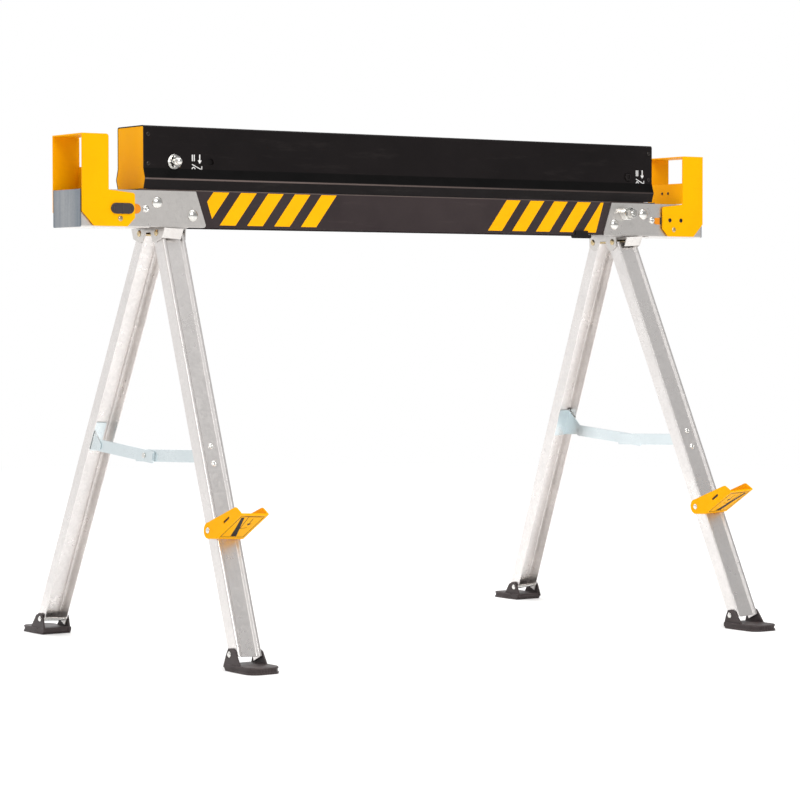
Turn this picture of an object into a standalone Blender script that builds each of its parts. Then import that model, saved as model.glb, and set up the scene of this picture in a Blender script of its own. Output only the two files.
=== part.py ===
"""A folding steel sawhorse: a pressed beam, two folding leg sets, and sliding timber supports.

Metres, +Z up. The origin is on the floor under the middle of the beam, and the beam runs along X.
The two ends are the same parts turned half round about Z, so each end is modelled once, in the frame
of the left end (outboard is -X), and placed by end_frame().
"""

import math

import bmesh
import bpy
from mathutils import Matrix, Vector

# Beam
BEAM_HALF = 0.5055
TOP_Z = 0.813
CAP_HALF_WIDTH = 0.0405
CAP_FLARE_Z = 0.748
RIDGE_Z = 0.7312
RIDGE_HALF_WIDTH = 0.0459
CAP_BOTTOM_Z = 0.7156
SHEET = 0.002
CAP_SHEET = 0.0015
RAIL_SHEET = 0.0012
RAIL_HALF = 0.512
RAIL_HALF_WIDTH = 0.0410
RAIL_NECK_HALF_WIDTH = 0.0370
RAIL_BOTTOM_Z = 0.6575
RAIL_SHOULDER_Z = 0.7150
RAIL_TOP_Z = 0.8106
END_CAP_DEPTH = 0.015
GAP = 0.0003

# End bracket and timber support
BRACKET_HALF_WIDTH = 0.0433
BRACKET_END_X = -0.617
BRACKET_TOP_INNER_X = -0.4143
BRACKET_BOTTOM_INNER_X = -0.395
BRACKET_BOTTOM_Z = 0.657
BRACKET_TOP_Z = 0.713
BRACKET_FLOOR_END_X = -0.497
ARM_OUTER_X = -0.616
ARM_INNER_X = -0.570
ARM_FOOT_X = -0.5245
ARM_TOP_Z = 0.797
ARM_HALF_WIDTH = 0.0472
ARM_WALL_TOP_Z = 0.750
ARM_TRAVEL = 0.030
WINDOW_CENTRE = (-0.547, 0.6843)
WINDOW_SIZE = (0.039, 0.0155)
GUIDE_PIN = (-0.550, 0.6688)
LOCK_TRAVEL = 0.008
TAB_TIP_X = -0.5125

# Bolts through the end bracket and the rail, as (x, z)
PIVOT = (-0.4200, 0.6755)
STOP_BOLT = (-0.4835, 0.6945)
CLAMP_BOLT = (-0.4520, 0.7580)
PLUNGER = (-0.4430, 0.6950)
SLOT_HOLE = (-0.3870, 0.7595)
BOLT_RADIUS = 0.004
BOLT_CLEARANCE = 0.0003
HEAD_RADIUS = 0.0095
PLUNGER_TRAVEL = 0.008

# Leg set
LEG_CENTRE_X = -0.4506
SIDE_TILT = math.radians(3.1)
SPREAD = math.radians(23.95)
LEG_PIN_Y = 0.0265
LEG_PIN_DROP = 0.0280
LEG_WIDTH = 0.042
LEG_DEPTH = 0.024
LEG_SHEET = 0.0015
WEB_FROM_PIN = 0.010
PANEL_HALF_WIDTH = 0.0125
PANEL_DEPTH = 0.0030
LEG_ABOVE_PIN = 0.0055
WEB_TOP_BELOW_PIN = 0.0041
LEG_FOOT_PIN = 0.6805
FOOT_PIN_FROM_WEB = 0.0172
LEG_BELOW_FOOT_PIN = 0.008
HANGER_SHEET = 0.002
HANGER_HALF_WIDTH = 0.0362
HANGER_STOP_END = 0.0105
PIN_RADIUS = 0.003

# Spreader
# The spreader's pivots, as (distance in from the leg's web, distance down from the leg's pin)
FRONT_BRACE = (0.0212, 0.3665)
REAR_BRACE = (0.0457, 0.3501)
BRACE_CENTRE = (-0.0065, -0.3725)
BRACE_HALF_HEIGHT = 0.0095
BRACE_SHEET = 0.0020
BRACE_OVERLAP = 0.030
LUG_LOBE = 0.0070

# Foot
FOOT_INNER_Y = 0.2830
FOOT_OUTER_Y = 0.3600
FOOT_HALF_WIDTH = 0.026
FOOT_THICKNESS = 0.0105
FOOT_LUG = 0.0030

# Material rest on each front leg
REST_DOWN = 0.4874
REST_FROM_WEB = 0.0158
REST_ANGLE = math.radians(30.5)
REST_PLATE_OFFSET = 0.0212
REST_START = 0.0142
REST_LENGTH = 0.094
REST_LOBE = 0.0125
REST_SHEET = 0.002

ENDS = ("left", "right")
SIDES = 16


# ---------------------------------------------------------------- scene and materials

def clear_scene():
    for obj in list(bpy.data.objects):
        bpy.data.objects.remove(obj)


def make_material(name, colour, roughness, metallic):
    material = bpy.data.materials.new(name)
    material.use_nodes = True
    shader = material.node_tree.nodes["Principled BSDF"]
    shader.inputs["Base Color"].default_value = (*colour, 1.0)
    shader.inputs["Roughness"].default_value = roughness
    shader.inputs["Metallic"].default_value = metallic
    material.diffuse_color = (*colour, 1.0)
    return material


def make_materials():
    return {
        "black": make_material("black_paint", (0.018, 0.017, 0.018), 0.45, 0.0),
        "rail": make_material("rail_paint", (0.075, 0.066, 0.064), 0.4, 0.0),
        "yellow": make_material("yellow_paint", (0.93, 0.43, 0.01), 0.4, 0.0),
        "zinc": make_material("zinc_plate", (0.66, 0.65, 0.64), 0.35, 0.9),
        "galvanised": make_material("galvanised_steel", (0.72, 0.71, 0.70), 0.4, 0.85),
        "bolt": make_material("bolt_steel", (0.75, 0.75, 0.73), 0.25, 1.0),
        "plastic": make_material("dark_plastic", (0.06, 0.05, 0.05), 0.55, 0.0),
        "orange": make_material("orange_plastic", (0.80, 0.28, 0.02), 0.5, 0.0),
    }


# ---------------------------------------------------------------- outlines

def arc(centre, radius, start, end, steps):
    """Points on a circle from one angle to another, in degrees."""
    angles = [math.radians(start + (end - start) * i / steps) for i in range(steps + 1)]
    return [(centre[0] + radius * math.cos(a), centre[1] + radius * math.sin(a)) for a in angles]


def rounded(points, radii, steps=3, closed=True):
    """The outline with each corner turned into an arc. A radius of 0 keeps the corner."""
    result = []
    count = len(points)
    for i, point in enumerate(points):
        radius = radii[i] if isinstance(radii, (list, tuple)) else radii
        if radius == 0 or (not closed and i in (0, count - 1)):
            result.append(point)
            continue
        here = Vector(point)
        before = (Vector(points[i - 1]) - here).normalized()
        after = (Vector(points[(i + 1) % count]) - here).normalized()
        half = before.angle(after) / 2
        start = here + before * radius / math.tan(half)
        end = here + after * radius / math.tan(half)
        centre = here + (before + after).normalized() * radius / math.sin(half)
        for step in range(steps + 1):
            spoke = (start - centre).normalized().slerp((end - centre).normalized(), step / steps)
            result.append(tuple(centre + spoke * radius))
    return result


def offset_line(points, distance):
    """An open line moved sideways to its left, with mitred corners."""
    moved = []
    for i, point in enumerate(points):
        here = Vector(point)
        before = (here - Vector(points[i - 1])).normalized() if i else None
        after = (Vector(points[i + 1]) - here).normalized() if i + 1 < len(points) else None
        before = before or after
        after = after or before
        left = Vector((-before.y - after.y, before.x + after.x)).normalized()
        square = Vector((-before.y, before.x))
        moved.append(tuple(here + left * distance / left.dot(square)))
    return moved


def sheet_outline(points, thickness):
    """The closed outline of a bent sheet whose one face follows the open line."""
    return list(points) + offset_line(points, thickness)[::-1]


def slotted(centre, length, height, steps=6):
    """A slot with round ends, along the first axis."""
    half = (length - height) / 2
    right = arc((centre[0] + half, centre[1]), height / 2, -90, 90, steps)
    left = arc((centre[0] - half, centre[1]), height / 2, 90, 270, steps)
    return right + left


# ---------------------------------------------------------------- solids

PLANES = {
    "XY": Matrix(((1, 0, 0, 0), (0, 1, 0, 0), (0, 0, 1, 0), (0, 0, 0, 1))),
    "XZ": Matrix(((1, 0, 0, 0), (0, 0, -1, 0), (0, 1, 0, 0), (0, 0, 0, 1))),
    "YZ": Matrix(((0, 0, 1, 0), (1, 0, 0, 0), (0, 1, 0, 0), (0, 0, 0, 1))),
}


def mesh_object(name, mesh):
    obj = bpy.data.objects.new(name, mesh)
    bpy.context.scene.collection.objects.link(obj)
    return obj


def plate(name, outline, plane, low, high):
    """A flat outline given thickness from low to high along the axis square to its plane."""
    curve = bpy.data.curves.new(name, "CURVE")
    curve.dimensions = "2D"
    curve.fill_mode = "BOTH"
    curve.extrude = (high - low) / 2
    spline = curve.splines.new("POLY")
    spline.points.add(len(outline) - 1)
    for point, (a, b) in zip(spline.points, outline):
        point.co = (a, b, 0, 1)
    spline.use_cyclic_u = True
    source = bpy.data.objects.new(name + "_outline", curve)
    bpy.context.scene.collection.objects.link(source)
    mesh = evaluated_mesh(source)
    bpy.data.objects.remove(source)
    # The XZ plane's own normal is -Y.
    middle = (low + high) / 2 * (-1 if plane == "XZ" else 1)
    mesh.transform(PLANES[plane] @ Matrix.Translation((0, 0, middle)))
    solid = bmesh.new()
    solid.from_mesh(mesh)
    bmesh.ops.remove_doubles(solid, verts=solid.verts, dist=1e-6)
    bmesh.ops.recalc_face_normals(solid, faces=solid.faces)
    solid.to_mesh(mesh)
    solid.free()
    return mesh_object(name, mesh)


def box(name, low, high):
    solid = bmesh.new()
    bmesh.ops.create_cube(solid, size=1)
    size = Vector(high) - Vector(low)
    bmesh.ops.scale(solid, vec=size, verts=solid.verts)
    bmesh.ops.translate(solid, vec=(Vector(high) + Vector(low)) / 2, verts=solid.verts)
    mesh = bpy.data.meshes.new(name)
    solid.to_mesh(mesh)
    solid.free()
    return mesh_object(name, mesh)


def rod(name, axis, place, radius, low, high, sides=SIDES):
    """A round or, with 6 sides, hexagonal bar along X or Y. place gives its other two coordinates."""
    solid = bmesh.new()
    bmesh.ops.create_cone(solid, cap_ends=True, segments=sides, radius1=radius, radius2=radius, depth=high - low)
    mesh = bpy.data.meshes.new(name)
    solid.to_mesh(mesh)
    solid.free()
    middle = (low + high) / 2
    if axis == "X":
        matrix = Matrix.Translation((middle, *place)) @ Matrix.Rotation(math.pi / 2, 4, "Y")
    else:
        matrix = Matrix.Translation((place[0], middle, place[1])) @ Matrix.Rotation(math.pi / 2, 4, "X")
    mesh.transform(matrix)
    return mesh_object(name, mesh)


def turned(name, axis, place, profile):
    """A solid turned about a line along X or Y. The profile is (radius, position) pairs along that line."""
    line = bpy.data.meshes.new(name)
    line.from_pydata([(radius, 0, z) for radius, z in profile[::-1]],
                     [(i, i + 1) for i in range(len(profile) - 1)], [])
    source = mesh_object(name + "_profile", line)
    screw = source.modifiers.new("turn", "SCREW")
    screw.steps = SIDES
    screw.render_steps = SIDES
    screw.use_merge_vertices = True
    screw.merge_threshold = 0.00001
    mesh = evaluated_mesh(source)
    bpy.data.objects.remove(source)
    spin = Matrix.Rotation(math.pi / 2, 4, "Y") if axis == "X" else Matrix.Rotation(-math.pi / 2, 4, "X")
    where = Vector((0, *place)) if axis == "X" else Vector((place[0], 0, place[1]))
    mesh.transform(Matrix.Translation(where) @ spin)
    solid = bmesh.new()
    solid.from_mesh(mesh)
    bmesh.ops.recalc_face_normals(solid, faces=solid.faces)
    solid.to_mesh(mesh)
    solid.free()
    return mesh_object(name, mesh)


def evaluated_mesh(obj):
    bpy.context.view_layer.update()
    return bpy.data.meshes.new_from_object(obj.evaluated_get(bpy.context.evaluated_depsgraph_get()))


def combine(obj, others, operation):
    """obj joined with, or cut by, each of the others, which are used up."""
    for other in others:
        modifier = obj.modifiers.new(operation.lower(), "BOOLEAN")
        modifier.operation = operation
        modifier.solver = "EXACT"
        modifier.object = other
    mesh = evaluated_mesh(obj)
    obj.modifiers.clear()
    obj.data = mesh
    for other in others:
        bpy.data.objects.remove(other)
    return obj


def cut(obj, *cutters):
    return combine(obj, cutters, "DIFFERENCE")


def join(obj, *others):
    return combine(obj, others, "UNION")


def finish(obj, name, frame, material, collection, origin=(0, 0, 0)):
    """Names the piece, moves its origin to a point on its joint's axis, and places it in the world."""
    bpy.context.view_layer.update()
    obj.data.transform(Matrix.Translation(-Vector(origin)) @ obj.matrix_world)
    obj.matrix_world = frame @ Matrix.Translation(origin)
    obj.name = name
    obj.data.name = name
    obj.data.materials.clear()
    obj.data.materials.append(material)
    obj.data.shade_smooth()
    obj.data.set_sharp_from_angle(angle=math.radians(35))
    for owner in list(obj.users_collection):
        owner.objects.unlink(obj)
    collection.objects.link(obj)
    return obj


# ---------------------------------------------------------------- frames

def end_frame(end):
    return Matrix.Identity(4) if end == "left" else Matrix.Rotation(math.pi, 4, "Z")


def legs_frame(end):
    """The frame of a leg set: its legs splay in its YZ plane, and it leans outboard by the side tilt."""
    place = Matrix.Translation((LEG_CENTRE_X, 0, PIVOT[1]))
    return end_frame(end) @ place @ Matrix.Rotation(SIDE_TILT, 4, "Y")


def leg_frame(end, side):
    """A leg's frame: origin on its pin, -Z down the leg. side is +1 or -1, its side in the end's own frame."""
    pin = Matrix.Translation((0, side * LEG_PIN_Y, -LEG_PIN_DROP))
    return legs_frame(end) @ pin @ Matrix.Rotation(side * SPREAD, 4, "X")


def side_names(end):
    """The name of the leg on each side of the end's own frame, +1 and -1."""
    return {-1: "front", 1: "rear"} if end == "left" else {-1: "rear", 1: "front"}


# ---------------------------------------------------------------- beam

def cap_corners():
    """The pressed cap's outer face across the beam, from one bottom lip over the top to the other."""
    half = [(CAP_HALF_WIDTH, CAP_BOTTOM_Z), (RIDGE_HALF_WIDTH, RIDGE_Z), (CAP_HALF_WIDTH, CAP_FLARE_Z),
            (CAP_HALF_WIDTH, TOP_Z)]
    return half + [(-y, z) for y, z in half[::-1]]


def cap_line():
    return rounded(cap_corners(), [0, 0.0025, 0.004, 0.0035, 0.0035, 0.004, 0.0025, 0], closed=False)


def make_top_beam(materials, collection):
    profile = sheet_outline(cap_line(), CAP_SHEET)
    beam = plate("cap", profile, "YZ", -BEAM_HALF, BEAM_HALF)
    for turn in ENDS:
        holes = [rod("bolt_hole", "Y", CLAMP_BOLT, BOLT_RADIUS + BOLT_CLEARANCE, -0.060, 0),
                 rod("access_hole", "Y", CLAMP_BOLT, 0.0080, 0, 0.060),
                 plate("slot_hole", slotted(SLOT_HOLE, 0.014, 0.011), "XZ", -0.060, -0.030)]
        for hole in holes:
            hole.matrix_world = end_frame(turn)
        cut(beam, *holes)
    finish(beam, "top_beam", Matrix.Identity(4), materials["black"], collection)


def make_end_cap(end, materials, collection):
    """A shallow tray that closes the pressed cap's end, open inboard."""
    outer = offset_line(cap_corners(), CAP_SHEET + GAP)
    inner = offset_line(cap_corners(), CAP_SHEET + GAP + SHEET)
    tray = plate("tray", rounded(outer, [0, 0, 0, 0.002, 0.002, 0, 0, 0]), "YZ",
                 -BEAM_HALF, -BEAM_HALF + END_CAP_DEPTH)
    # The tray's own floor is its bottom wall.
    inner = [(y, max(z, CAP_BOTTOM_Z + SHEET)) for y, z in inner]
    inside = plate("inside", inner, "YZ", -BEAM_HALF + SHEET, -BEAM_HALF + 2 * END_CAP_DEPTH)
    cut(tray, inside)
    finish(tray, f"end_cap_{end}", end_frame(end), materials["yellow"], collection)


def make_lower_rail(materials, collection):
    half = [(RAIL_HALF_WIDTH, RAIL_BOTTOM_Z), (RAIL_HALF_WIDTH, RAIL_SHOULDER_Z),
            (RAIL_NECK_HALF_WIDTH, RAIL_SHOULDER_Z), (RAIL_NECK_HALF_WIDTH, RAIL_TOP_Z)]
    line = half + [(-y, z) for y, z in half[::-1]]
    rail = plate("rail", sheet_outline(line, RAIL_SHEET), "YZ", -RAIL_HALF, RAIL_HALF)
    neck_end = -BEAM_HALF + END_CAP_DEPTH + 0.001
    for turn in ENDS:
        holes = [rod("hole", "Y", place, BOLT_RADIUS + BOLT_CLEARANCE, -0.060, 0.060)
                 for place in (PIVOT, STOP_BOLT, CLAMP_BOLT)]
        holes.append(rod("hole", "Y", PLUNGER, 0.0045, 0, 0.060))
        holes.append(box("neck_end", (-0.6, -0.06, RAIL_SHOULDER_Z + 0.0001), (neck_end, 0.06, 0.9)))
        for hole in holes:
            hole.matrix_world = end_frame(turn) @ hole.matrix_world
        cut(rail, *holes)
    finish(rail, "lower_rail", Matrix.Identity(4), materials["rail"], collection)


def make_end_bracket(end, materials, collection):
    """The zinc-plated box around the rail's end: two cheeks, an end wall and a short floor."""
    low = BRACKET_BOTTOM_Z - 0.0015
    outer, inner = BRACKET_HALF_WIDTH, BRACKET_HALF_WIDTH - SHEET
    half = [(outer, BRACKET_TOP_Z), (outer, low), (-outer, low), (-outer, BRACKET_TOP_Z)]
    section = rounded(half, [0, 0.0022, 0.0022, 0], closed=False)
    inside = [(-inner, BRACKET_TOP_Z), (-inner, BRACKET_BOTTOM_Z + 0.0002), (inner, BRACKET_BOTTOM_Z + 0.0002),
              (inner, BRACKET_TOP_Z)]
    bracket = plate("channel", section + inside, "YZ", BRACKET_END_X, BRACKET_BOTTOM_INNER_X + 0.01)
    outline = rounded([(BRACKET_END_X - 0.01, low - 0.01), (BRACKET_FLOOR_END_X - 0.004, low - 0.01),
                       (BRACKET_FLOOR_END_X, BRACKET_BOTTOM_Z), (BRACKET_BOTTOM_INNER_X, BRACKET_BOTTOM_Z),
                       (BRACKET_TOP_INNER_X, BRACKET_TOP_Z), (BRACKET_TOP_INNER_X, BRACKET_TOP_Z + 0.01),
                       (BRACKET_END_X - 0.01, BRACKET_TOP_Z + 0.01)],
                      [0, 0, 0.002, 0.004, 0.006, 0, 0])
    outline = outline[:-3] + [(BRACKET_TOP_INNER_X - 0.003, BRACKET_TOP_Z + 0.01)] + outline[-1:]
    mask = plate("mask", outline, "XZ", -0.06, 0.06)
    combine(bracket, [mask], "INTERSECT")
    opening = box("opening", (BRACKET_FLOOR_END_X, -inner + 0.0003, 0.6), (-0.3, inner - 0.0003, 0.8))
    cut(bracket, opening)
    wall = box("wall", (BRACKET_END_X + 0.0001, -inner - 0.001, low + 0.0004),
               (BRACKET_END_X + SHEET, inner + 0.001, BRACKET_TOP_Z - 0.0004))
    join(bracket, wall)
    guide = slotted((GUIDE_PIN[0] - ARM_TRAVEL / 2, GUIDE_PIN[1]),
                    ARM_TRAVEL + 2 * PIN_RADIUS + 2 * BOLT_CLEARANCE, 2 * PIN_RADIUS + 2 * BOLT_CLEARANCE, 4)
    holes = [rod("hole", "Y", place, BOLT_RADIUS + BOLT_CLEARANCE, -0.060, 0.060)
             for place in (PIVOT, STOP_BOLT)]
    holes.append(plate("guide_slot", guide, "XZ", -0.060, 0.060))
    holes.append(rod("plunger_hole", "Y", PLUNGER, 0.0045, 0, 0.060))
    cut(bracket, *holes)
    finish(bracket, f"end_bracket_{end}", end_frame(end), materials["zinc"], collection)


def dome_bolt(name, place, half_span):
    """A through bolt with a domed head at each end."""
    head = [(0.0, 0.0046), (0.0035, 0.0043), (0.0066, 0.0032), (0.0086, 0.0016), (HEAD_RADIUS, 0.0)]
    upper = [(radius, half_span + height) for radius, height in head]
    shank = [(BOLT_RADIUS, half_span), (BOLT_RADIUS, -half_span)]
    lower = [(radius, -half_span - height) for radius, height in head[::-1]]
    return turned(name, "Y", place, upper + shank + lower)


def make_through_bolts(end, materials, collection):
    half_span = BRACKET_HALF_WIDTH + GAP
    for name, place in (("stop_bolt", STOP_BOLT), ("pivot_bolt", PIVOT)):
        bolt = dome_bolt(name, place, half_span)
        finish(bolt, f"{name}_{end}", end_frame(end), materials["bolt"], collection)


def make_clamp_bolt(end, materials, collection):
    """The hex bolt that clamps the pressed cap to the rail's neck: its nut is outside on one face."""
    face = -CAP_HALF_WIDTH - GAP
    shank = rod("shank", "Y", CLAMP_BOLT, BOLT_RADIUS, face - 0.019, RAIL_NECK_HALF_WIDTH + 0.002)
    washer = rod("washer", "Y", CLAMP_BOLT, 0.0105, face - 0.0022, face)
    nut = rod("nut", "Y", CLAMP_BOLT, 0.0092, face - 0.012, face - 0.002, 6)
    head = rod("head", "Y", CLAMP_BOLT, 0.0070, RAIL_NECK_HALF_WIDTH + GAP, RAIL_NECK_HALF_WIDTH + 0.006)
    bolt = join(shank, washer, nut, head)
    finish(bolt, f"clamp_bolt_{end}", end_frame(end), materials["bolt"], collection)


def make_plunger(end, materials, collection):
    """The spring plunger that locks a leg set: a fixed hex sleeve and a pin that pulls out along it."""
    face = BRACKET_HALF_WIDTH + GAP
    sleeve = rod("sleeve", "Y", PLUNGER, 0.0115, face, face + 0.014, 6)
    bore = rod("bore", "Y", PLUNGER, 0.0045, face - 0.01, face + 0.02)
    cut(sleeve, bore)
    finish(sleeve, f"plunger_sleeve_{end}", end_frame(end), materials["bolt"], collection)
    pin = rod("pin", "Y", PLUNGER, 0.0042, HANGER_HALF_WIDTH + GAP, face + 0.026)
    knob = rod("knob", "Y", PLUNGER, 0.0085, face + 0.0143, face + 0.024, 6)
    join(pin, knob)
    finish(pin, f"plunger_{end}", end_frame(end), materials["bolt"], collection,
           (PLUNGER[0], face, PLUNGER[1]))


def make_leg_clip(end, materials, collection):
    """The plastic clip under one edge of the rail."""
    outline = rounded([(-0.369, 0.6512), (-0.328, 0.6512), (-0.328, 0.6570), (-0.369, 0.6570)],
                      [0.003, 0.003, 0, 0])
    clip = plate("clip", outline, "XZ", 0.0397, 0.0440)
    ear = box("ear", (-0.362, RAIL_HALF_WIDTH + GAP, 0.656), (-0.335, 0.0440, 0.6640))
    join(clip, ear)
    finish(clip, f"leg_clip_{end}", end_frame(end), materials["plastic"], collection)


# ---------------------------------------------------------------- timber support

def make_arm(end, materials, collection):
    """The support arm: two L-shaped cheeks, a top web and a cross wall, straddling the end bracket."""
    outline = rounded([(ARM_OUTER_X, ARM_TOP_Z), (ARM_OUTER_X, 0.679), (-0.595, 0.657), (-0.5376, 0.657),
                       (ARM_FOOT_X, 0.670), (ARM_FOOT_X, 0.7080), (ARM_INNER_X, 0.7125),
                       (ARM_INNER_X, ARM_TOP_Z)],
                      [0, 0.002, 0.002, 0.002, 0.002, 0.004, 0.001, 0.004])
    inner = ARM_HALF_WIDTH - SHEET
    front = plate("front_cheek", outline, "XZ", -ARM_HALF_WIDTH, -inner)
    rear = plate("rear_cheek", outline, "XZ", inner, ARM_HALF_WIDTH)
    top = box("top_web", (ARM_OUTER_X, -inner - 0.001, ARM_TOP_Z - SHEET),
              (ARM_INNER_X - 0.003, inner + 0.001, ARM_TOP_Z))
    wall = box("cross_wall", (ARM_INNER_X - SHEET, -inner - 0.001, BRACKET_TOP_Z + 0.001),
               (ARM_INNER_X, inner + 0.001, ARM_WALL_TOP_Z))
    arm = join(front, rear, top, wall)
    window = plate("window", slotted(WINDOW_CENTRE, *WINDOW_SIZE), "XZ", -0.060, -0.030)
    pin_hole = rod("pin_hole", "Y", GUIDE_PIN, PIN_RADIUS + BOLT_CLEARANCE, -0.060, 0.060)
    cut(arm, window, pin_hole)
    finish(arm, f"support_arm_{end}", end_frame(end), materials["yellow"], collection, (ARM_INNER_X, 0, BRACKET_TOP_Z))


def make_guide_pin(end, materials, collection):
    """The pin across the arm's cheeks, which slides in the bracket's slots."""
    half = ARM_HALF_WIDTH + GAP
    head = [(0.0, 0.0014), (0.0030, 0.0012), (0.0045, 0.0)]
    profile = [(radius, half + height) for radius, height in head]
    profile += [(PIN_RADIUS, half), (PIN_RADIUS, -half)]
    profile += [(radius, -half - height) for radius, height in head[::-1]]
    pin = turned("pin", "Y", GUIDE_PIN, profile)
    finish(pin, f"guide_pin_{end}", end_frame(end), materials["bolt"], collection)


def make_lock(end, materials, collection):
    """The thumb slide in the arm's window, and the tab that it carries between arm and bracket."""
    back = -BRACKET_HALF_WIDTH - GAP
    grip_half = 0.0135
    outline = slotted((WINDOW_CENTRE[0] + 0.0035, WINDOW_CENTRE[1]), 2 * grip_half, WINDOW_SIZE[1] - 0.0008)
    grip = plate("grip", outline, "XZ", -ARM_HALF_WIDTH - 0.0016, back - 0.0009)
    cover = slotted(WINDOW_CENTRE, WINDOW_SIZE[0] + 0.0012, WINDOW_SIZE[1] + 0.0008)
    join(grip, plate("cover", cover, "XZ", -ARM_HALF_WIDTH - 0.0026, -ARM_HALF_WIDTH - GAP))
    finish(grip, f"lock_grip_{end}", end_frame(end), materials["plastic"], collection,
           (WINDOW_CENTRE[0], back, WINDOW_CENTRE[1]))
    radius = 0.0075
    tip = arc((TAB_TIP_X - radius, WINDOW_CENTRE[1]), radius, -90, 90, 8)
    tab_outline = tip + [(-0.560, WINDOW_CENTRE[1] + radius), (-0.560, WINDOW_CENTRE[1] - radius)]
    tab = plate("tab", tab_outline, "XZ", back - 0.0006, back)
    finish(tab, f"lock_tab_{end}", end_frame(end), materials["orange"], collection,
           (WINDOW_CENTRE[0], back, WINDOW_CENTRE[1]))


# ---------------------------------------------------------------- leg set

def make_hanger(end, materials, collection):
    """The yoke that carries both legs of an end and folds about the pivot bolt."""
    frame = legs_frame(end)
    pivot = frame.inverted() @ end_frame(end) @ Vector((PIVOT[0], 0, PIVOT[1]))
    half = LEG_WIDTH / 2 + 0.0006
    wide = HANGER_HALF_WIDTH
    top, low = -0.0203, -0.0221
    skirt = [(0.0520, top), (0.0445, -0.0365), (0.0250, -0.0430), (0.0150, -0.0415), (0.0085, -0.0270)]
    outer = [(wide, 0.0200), (wide, top)] + skirt
    outer += [(-y, z) for y, z in outer[::-1]]
    lobes = [(wide, 0.0080), (wide, -0.0365), (0.0250, -0.0430), (0.0150, -0.0415), (0.0085, -0.0270)]
    inner = lobes + [(-y, z) for y, z in lobes[::-1]]
    outboard = plate("outboard", outer, "YZ", -half - HANGER_SHEET, -half)
    inboard = plate("inboard", inner, "YZ", half, half + HANGER_SHEET)
    pieces = [outboard, inboard]
    ear = rounded([(-half - 0.0005, 0.0195), (-half - 0.0005, top), (half + 0.0005, top),
                   (pivot.x + 0.010, pivot.z - 0.010), (pivot.x + 0.010, pivot.z + 0.010),
                   (pivot.x - 0.012, 0.0195)],
                  [0, 0, 0, 0.007, 0.007, 0.006])
    for side in (-1, 1):
        near, far = sorted((side * wide, side * (wide - HANGER_SHEET)))
        pieces.append(plate("ear", ear, "XZ", near, far))
        # The slanted face that the leg's web leans on, and the ledge above it that clears the rail.
        stop = [(0.0515, top - 0.0005), (0.0442, -0.0363), (0.0420, -0.0363), (0.0492, top - 0.0005)]
        pieces.append(plate("stop", [(side * y, z) for y, z in stop], "YZ", -half - 0.0005, HANGER_STOP_END))
        ledge = [(wide - 0.001, top - 0.0001), (0.0513, top - 0.0001), (0.0505, low), (wide - 0.001, low)]
        pieces.append(plate("ledge", [(side * y, z) for y, z in ledge], "YZ", -half - 0.0005, HANGER_STOP_END))
    hanger = join(pieces[0], *pieces[1:])
    holes = [rod("pivot_hole", "Y", (pivot.x, pivot.z), BOLT_RADIUS + BOLT_CLEARANCE, -0.05, 0.05)]
    for side in (-1, 1):
        holes.append(rod("pin_hole", "X", (side * LEG_PIN_Y, -LEG_PIN_DROP), PIN_RADIUS + BOLT_CLEARANCE,
                         -0.04, 0.04))
    cut(hanger, *holes)
    finish(hanger, f"hanger_{end}", frame, materials["zinc"], collection, pivot)


def cross_pin(name, half_span, shank, head):
    """A pin along X, centred on its own origin, with a shallow round head at each end."""
    heads = [(0.0, 0.0018), (head * 0.7, 0.0014), (head, 0.0)]
    profile = [(radius, half_span + height) for radius, height in heads]
    profile += [(shank, half_span), (shank, -half_span)]
    profile += [(radius, -half_span - height) for radius, height in heads[::-1]]
    return turned(name, "X", (0, 0), profile)


def leg_line(side):
    """The outer face of the leg's open channel in its own XY plane, with the pressed panel in its web."""
    half = LEG_WIDTH / 2
    web = WEB_FROM_PIN
    panel = PANEL_HALF_WIDTH
    half_line = [(half, web - LEG_DEPTH), (half, web), (panel + PANEL_DEPTH, web), (panel, web - PANEL_DEPTH)]
    line = half_line + [(-x, y) for x, y in half_line[::-1]]
    line = rounded(line, [0, 0.0026, 0, 0, 0, 0, 0.0026, 0], closed=False)
    return line if side > 0 else [(x, -y) for x, y in line[::-1]]


def make_leg(end, side, materials, collection):
    name = side_names(end)[side]
    frame = leg_frame(end, side)
    bottom = -LEG_FOOT_PIN - LEG_BELOW_FOOT_PIN
    leg = plate("leg", sheet_outline(leg_line(side), LEG_SHEET), "XY", bottom, LEG_ABOVE_PIN)
    holes = [rod("pin_hole", "X", (0, 0), PIN_RADIUS + BOLT_CLEARANCE, -0.03, 0.03)]
    foot_pin_y = side * (WEB_FROM_PIN - FOOT_PIN_FROM_WEB)
    holes.append(rod("foot_pin_hole", "X", (foot_pin_y, -LEG_FOOT_PIN), PIN_RADIUS + BOLT_CLEARANCE,
                     -0.03, 0.03))
    if name == "front":
        holes.append(rod("rest_pin_hole", "X", (side * (WEB_FROM_PIN - REST_FROM_WEB), -REST_DOWN),
                         PIN_RADIUS + BOLT_CLEARANCE, -0.03, 0.03))
    # The web stops below the pin, so that it clears the hanger as the leg swings in.
    low, high = sorted((side * (WEB_FROM_PIN - 0.0057), side * (WEB_FROM_PIN + 0.011)))
    holes.append(box("web_top", (-0.03, low, -WEB_TOP_BELOW_PIN), (0.03, high, 0.03)))
    cut(leg, *holes)
    finish(leg, f"{name}_leg_{end}", frame, materials["galvanised"], collection)
    pin = cross_pin("pin", LEG_WIDTH / 2 + 0.0006 + HANGER_SHEET + GAP, PIN_RADIUS, 0.0055)
    finish(pin, f"{name}_leg_pin_{end}", frame, materials["bolt"], collection)


def brace_pivot(end, side):
    """A spreader link's pivot in its leg's frame, as (y, z)."""
    from_web, down = FRONT_BRACE if side_names(end)[side] == "front" else REAR_BRACE
    return side * (WEB_FROM_PIN - from_web), -down


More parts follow.
